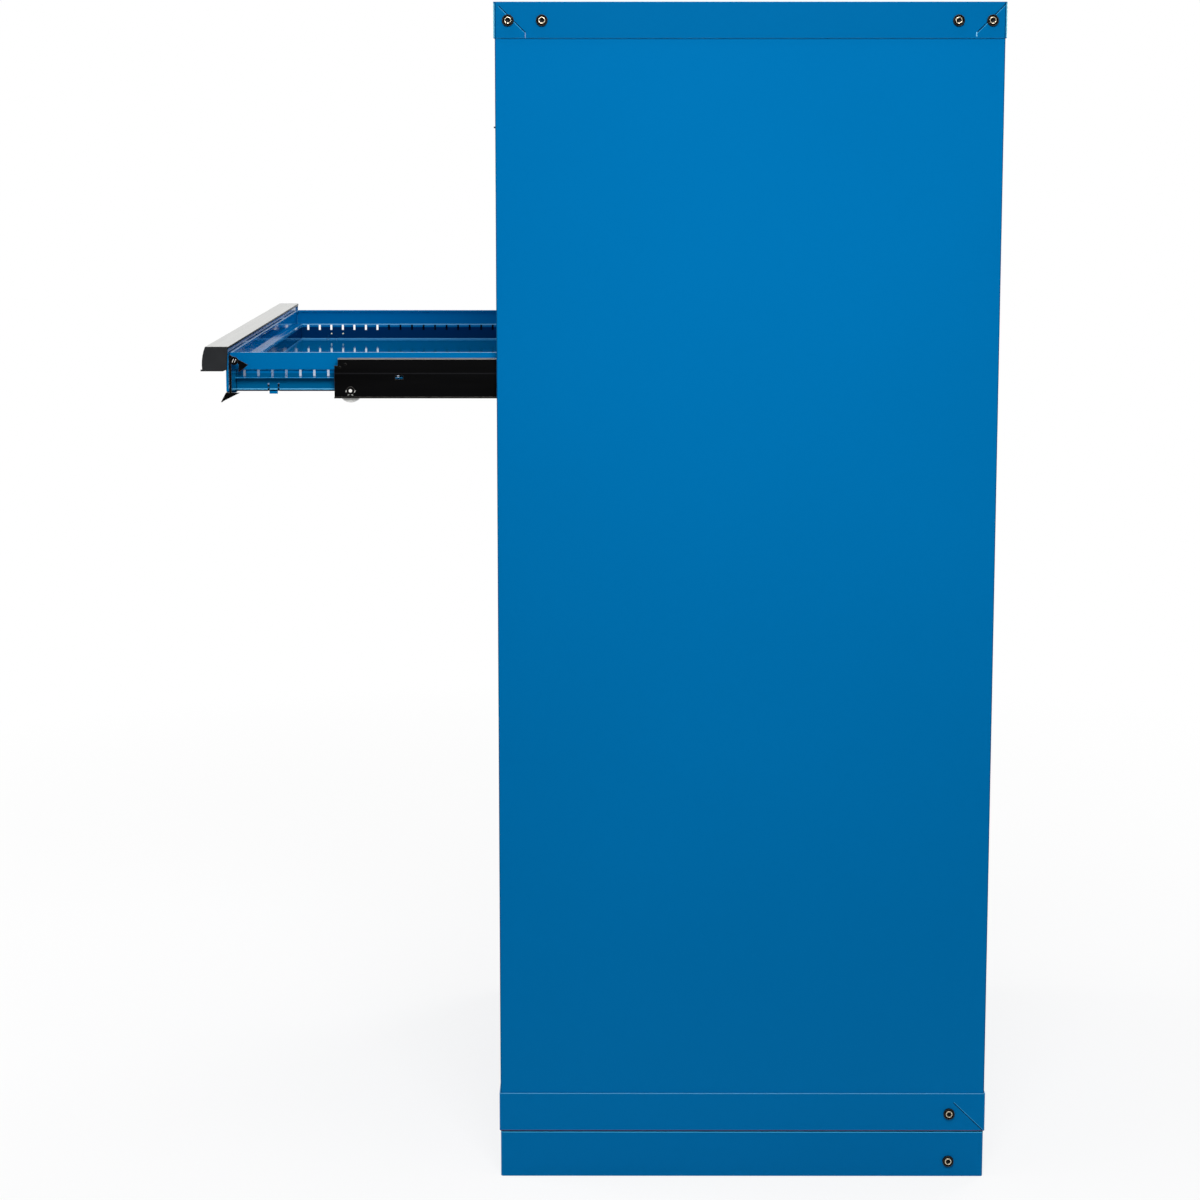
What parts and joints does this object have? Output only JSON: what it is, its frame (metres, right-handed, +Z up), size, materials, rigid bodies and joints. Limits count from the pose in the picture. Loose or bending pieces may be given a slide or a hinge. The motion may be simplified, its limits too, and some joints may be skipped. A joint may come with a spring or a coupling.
{
  "type": "modular drawer cabinet",
  "caption": "Tall sheet-steel drawer cabinet with full-width aluminium handles, roller slides, latch bars and a key lock.",
  "frame": {"origin": "on the floor, in the middle of the housing's footprint, which is the centre of its four anchor holes", "axes": "+Z up, the drawers pull out towards -Y, +X is the right-hand side seen from the front"},
  "size_m": [0.7736, 0.9945, 1.5],
  "materials": {
    "blue_enamel": "glossy baked enamel",
    "black_enamel": "satin black",
    "galvanised_steel": "zinc plated",
    "zinc_screws": "yellow-clear zinc",
    "chrome_lock": "polished",
    "satin_aluminium": "satin anodised",
    "black_plastic": "moulded, fine grain",
    "white_nylon": "smooth"
  },
  "bodies": {
    "housing": {"side_panel_right": "blue_enamel", "side_panel_left": "blue_enamel", "back_panel": "blue_enamel", "top_cap": "blue_enamel", "bottom_pan": "blue_enamel", "base": "blue_enamel", "uprights": "galvanised_steel", "cabinet_channels": "black_enamel", "housing_screws": "zinc_screws"},
    "lock": {"lock_cylinder": "chrome_lock"},
    "lock_bar": {"lock_bar": "galvanised_steel"},
    "drawer_1": {"drawer_1_tray": "blue_enamel", "drawer_1_front": "blue_enamel", "drawer_1_handle": "satin_aluminium", "drawer_1_end_caps": "black_plastic"},
    "drawer_1_latch": {"drawer_1_latch_bar": "black_enamel"},
    "drawer_1_slides": {"drawer_1_slide_members": "black_enamel"},
    "drawer_1_roller_pair": {"drawer_1_rollers": "white_nylon"},
    "drawer_2": {"drawer_2_tray": "blue_enamel", "drawer_2_front": "blue_enamel", "drawer_2_handle": "satin_aluminium", "drawer_2_end_caps": "black_plastic"},
    "drawer_2_latch": {"drawer_2_latch_bar": "black_enamel"},
    "drawer_2_slides": {"drawer_2_slide_members": "black_enamel"},
    "drawer_2_roller_pair": {"drawer_2_rollers": "white_nylon"},
    "drawer_3": {"drawer_3_tray": "blue_enamel", "drawer_3_front": "blue_enamel", "drawer_3_handle": "satin_aluminium", "drawer_3_end_caps": "black_plastic"},
    "drawer_3_latch": {"drawer_3_latch_bar": "black_enamel"},
    "drawer_3_slides": {"drawer_3_slide_members": "black_enamel"},
    "drawer_3_roller_pair": {"drawer_3_rollers": "white_nylon"},
    "drawer_4": {"drawer_4_tray": "blue_enamel", "drawer_4_front": "blue_enamel", "drawer_4_handle": "satin_aluminium", "drawer_4_end_caps": "black_plastic"},
    "drawer_4_latch": {"drawer_4_latch_bar": "black_enamel"},
    "drawer_4_slides": {"drawer_4_slide_members": "black_enamel"},
    "drawer_4_roller_pair": {"drawer_4_rollers": "white_nylon"},
    "drawer_5": {"drawer_5_tray": "blue_enamel", "drawer_5_front": "blue_enamel", "drawer_5_handle": "satin_aluminium", "drawer_5_end_caps": "black_plastic"},
    "drawer_5_latch": {"drawer_5_latch_bar": "black_enamel"},
    "drawer_5_slides": {"drawer_5_slide_members": "black_enamel"},
    "drawer_5_roller_pair": {"drawer_5_rollers": "white_nylon"},
    "drawer_6": {"drawer_6_tray": "blue_enamel", "drawer_6_front": "blue_enamel", "drawer_6_handle": "satin_aluminium", "drawer_6_end_caps": "black_plastic"},
    "drawer_6_latch": {"drawer_6_latch_bar": "black_enamel"},
    "drawer_6_slides": {"drawer_6_slide_members": "black_enamel"},
    "drawer_6_roller_pair": {"drawer_6_rollers": "white_nylon"},
    "drawer_7": {"drawer_7_tray": "blue_enamel", "drawer_7_front": "blue_enamel", "drawer_7_handle": "satin_aluminium", "drawer_7_end_caps": "black_plastic"},
    "drawer_7_latch": {"drawer_7_latch_bar": "black_enamel"},
    "drawer_7_slides": {"drawer_7_slide_members": "black_enamel"},
    "drawer_7_roller_pair": {"drawer_7_rollers": "white_nylon"}
  },
  "joints": [
    {"name": "lock_turn", "type": "hinge", "parent": "housing", "child": "lock", "pos_m": [0.33, -0.312, 1.4775], "axis": [0, -1, 0], "range_deg": [0, 90]},
    {"name": "lock_bar_lift", "type": "slide", "parent": "housing", "child": "lock_bar", "axis": [0, 0, 1], "range_m": [0, 0.008]},
    {"name": "drawer_1_slide", "type": "slide", "parent": "housing", "child": "drawer_1", "axis": [0, -1, 0], "range_m": [0, 0.56]},
    {"name": "drawer_1_member_slide", "type": "slide", "parent": "housing", "child": "drawer_1_slides", "axis": [0, -1, 0], "range_m": [-0.0005, 0.3813]},
    {"name": "drawer_1_roller_spin", "type": "hinge", "parent": "drawer_1_slides", "child": "drawer_1_roller_pair", "pos_m": [0, -0.2437, 1.3971], "axis": [1, 0, 0], "range_deg": [-2, 686.49]},
    {"name": "drawer_1_latch_hinge", "type": "hinge", "parent": "drawer_1", "child": "drawer_1_latch", "pos_m": [0, -0.2698, 1.4349], "axis": [1, 0, 0], "range_deg": [0, 7], "stiffness_Nm_per_rad": 1, "springref_deg": -3.44},
    {"name": "drawer_2_slide", "type": "slide", "parent": "housing", "child": "drawer_2", "axis": [0, -1, 0], "range_m": [-0.0027, 0.5573]},
    {"name": "drawer_2_member_slide", "type": "slide", "parent": "housing", "child": "drawer_2_slides", "axis": [0, -1, 0], "range_m": [-0.00234, 0.37946]},
    {"name": "drawer_2_roller_spin", "type": "hinge", "parent": "drawer_2_slides", "child": "drawer_2_roller_pair", "pos_m": [0, -0.24554, 1.2471], "axis": [1, 0, 0], "range_deg": [-5.3, 683.19]},
    {"name": "drawer_2_latch_hinge", "type": "hinge", "parent": "drawer_2", "child": "drawer_2_latch", "pos_m": [0, -0.2725, 1.2849], "axis": [1, 0, 0], "range_deg": [0, 7], "stiffness_Nm_per_rad": 1, "springref_deg": -3.44},
    {"name": "drawer_3_slide", "type": "slide", "parent": "housing", "child": "drawer_3", "axis": [0, -1, 0], "range_m": [0, 0.56]},
    {"name": "drawer_3_member_slide", "type": "slide", "parent": "housing", "child": "drawer_3_slides", "axis": [0, -1, 0], "range_m": [-0.0005, 0.3813]},
    {"name": "drawer_3_roller_spin", "type": "hinge", "parent": "drawer_3_slides", "child": "drawer_3_roller_pair", "pos_m": [0, -0.2437, 1.0971], "axis": [1, 0, 0], "range_deg": [-2, 686.49]},
    {"name": "drawer_3_latch_hinge", "type": "hinge", "parent": "drawer_3", "child": "drawer_3_latch", "pos_m": [0, -0.2698, 1.1349], "axis": [1, 0, 0], "range_deg": [0, 7], "stiffness_Nm_per_rad": 1, "springref_deg": -3.44},
    {"name": "drawer_4_slide", "type": "slide", "parent": "housing", "child": "drawer_4", "axis": [0, -1, 0], "range_m": [-0.3695, 0.1905]},
    {"name": "drawer_4_member_slide", "type": "slide", "parent": "housing", "child": "drawer_4_slides", "axis": [0, -1, 0], "range_m": [-0.25176, 0.13004]},
    {"name": "drawer_4_roller_spin", "type": "hinge", "parent": "drawer_4_slides", "child": "drawer_4_roller_pair", "pos_m": [0, -0.49496, 1.0221], "axis": [1, 0, 0], "range_deg": [-453.64, 234.85]},
    {"name": "drawer_4_latch_hinge", "type": "hinge", "parent": "drawer_4", "child": "drawer_4_latch", "pos_m": [0, -0.6393, 1.0599], "axis": [1, 0, 0], "range_deg": [0, 7], "stiffness_Nm_per_rad": 1, "springref_deg": -3.44},
    {"name": "drawer_5_slide", "type": "slide", "parent": "housing", "child": "drawer_5", "axis": [0, -1, 0], "range_m": [0, 0.56]},
    {"name": "drawer_5_member_slide", "type": "slide", "parent": "housing", "child": "drawer_5_slides", "axis": [0, -1, 0], "range_m": [-0.0005, 0.3813]},
    {"name": "drawer_5_roller_spin", "type": "hinge", "parent": "drawer_5_slides", "child": "drawer_5_roller_pair", "pos_m": [0, -0.2437, 0.8221], "axis": [1, 0, 0], "range_deg": [-2, 686.49]},
    {"name": "drawer_5_latch_hinge", "type": "hinge", "parent": "drawer_5", "child": "drawer_5_latch", "pos_m": [0, -0.2698, 0.8599], "axis": [1, 0, 0], "range_deg": [0, 7], "stiffness_Nm_per_rad": 1, "springref_deg": -3.44},
    {"name": "drawer_6_slide", "type": "slide", "parent": "housing", "child": "drawer_6", "axis": [0, -1, 0], "range_m": [0, 0.56]},
    {"name": "drawer_6_member_slide", "type": "slide", "parent": "housing", "child": "drawer_6_slides", "axis": [0, -1, 0], "range_m": [-0.0005, 0.3813]},
    {"name": "drawer_6_roller_spin", "type": "hinge", "parent": "drawer_6_slides", "child": "drawer_6_roller_pair", "pos_m": [0, -0.2437, 0.5221], "axis": [1, 0, 0], "range_deg": [-2, 686.49]},
    {"name": "drawer_6_latch_hinge", "type": "hinge", "parent": "drawer_6", "child": "drawer_6_latch", "pos_m": [0, -0.2698, 0.5599], "axis": [1, 0, 0], "range_deg": [0, 7], "stiffness_Nm_per_rad": 1, "springref_deg": -3.44},
    {"name": "drawer_7_slide", "type": "slide", "parent": "housing", "child": "drawer_7", "axis": [0, -1, 0], "range_m": [0, 0.56]},
    {"name": "drawer_7_member_slide", "type": "slide", "parent": "housing", "child": "drawer_7_slides", "axis": [0, -1, 0], "range_m": [-0.0005, 0.3813]},
    {"name": "drawer_7_roller_spin", "type": "hinge", "parent": "drawer_7_slides", "child": "drawer_7_roller_pair", "pos_m": [0, -0.2437, 0.1346], "axis": [1, 0, 0], "range_deg": [-2, 686.49]},
    {"name": "drawer_7_latch_hinge", "type": "hinge", "parent": "drawer_7", "child": "drawer_7_latch", "pos_m": [0, -0.2698, 0.1724], "axis": [1, 0, 0], "range_deg": [0, 7], "stiffness_Nm_per_rad": 1, "springref_deg": -3.44}
  ],
  "couplings": [
    {"joint": "lock_turn", "follows": "lock_bar_lift", "rad_per_m": 196.35},
    {"joint": "drawer_1_member_slide", "follows": "drawer_1_slide", "ratio": 0.68},
    {"joint": "drawer_1_roller_spin", "follows": "drawer_1_slide", "rad_per_m": 21.333},
    {"joint": "drawer_2_member_slide", "follows": "drawer_2_slide", "ratio": 0.68},
    {"joint": "drawer_2_roller_spin", "follows": "drawer_2_slide", "rad_per_m": 21.333},
    {"joint": "drawer_3_member_slide", "follows": "drawer_3_slide", "ratio": 0.68},
    {"joint": "drawer_3_roller_spin", "follows": "drawer_3_slide", "rad_per_m": 21.333},
    {"joint": "drawer_4_member_slide", "follows": "drawer_4_slide", "ratio": 0.68},
    {"joint": "drawer_4_roller_spin", "follows": "drawer_4_slide", "rad_per_m": 21.333},
    {"joint": "drawer_5_member_slide", "follows": "drawer_5_slide", "ratio": 0.68},
    {"joint": "drawer_5_roller_spin", "follows": "drawer_5_slide", "rad_per_m": 21.333},
    {"joint": "drawer_6_member_slide", "follows": "drawer_6_slide", "ratio": 0.68},
    {"joint": "drawer_6_roller_spin", "follows": "drawer_6_slide", "rad_per_m": 21.333},
    {"joint": "drawer_7_member_slide", "follows": "drawer_7_slide", "ratio": 0.68},
    {"joint": "drawer_7_roller_spin", "follows": "drawer_7_slide", "rad_per_m": 21.333}
  ]
}
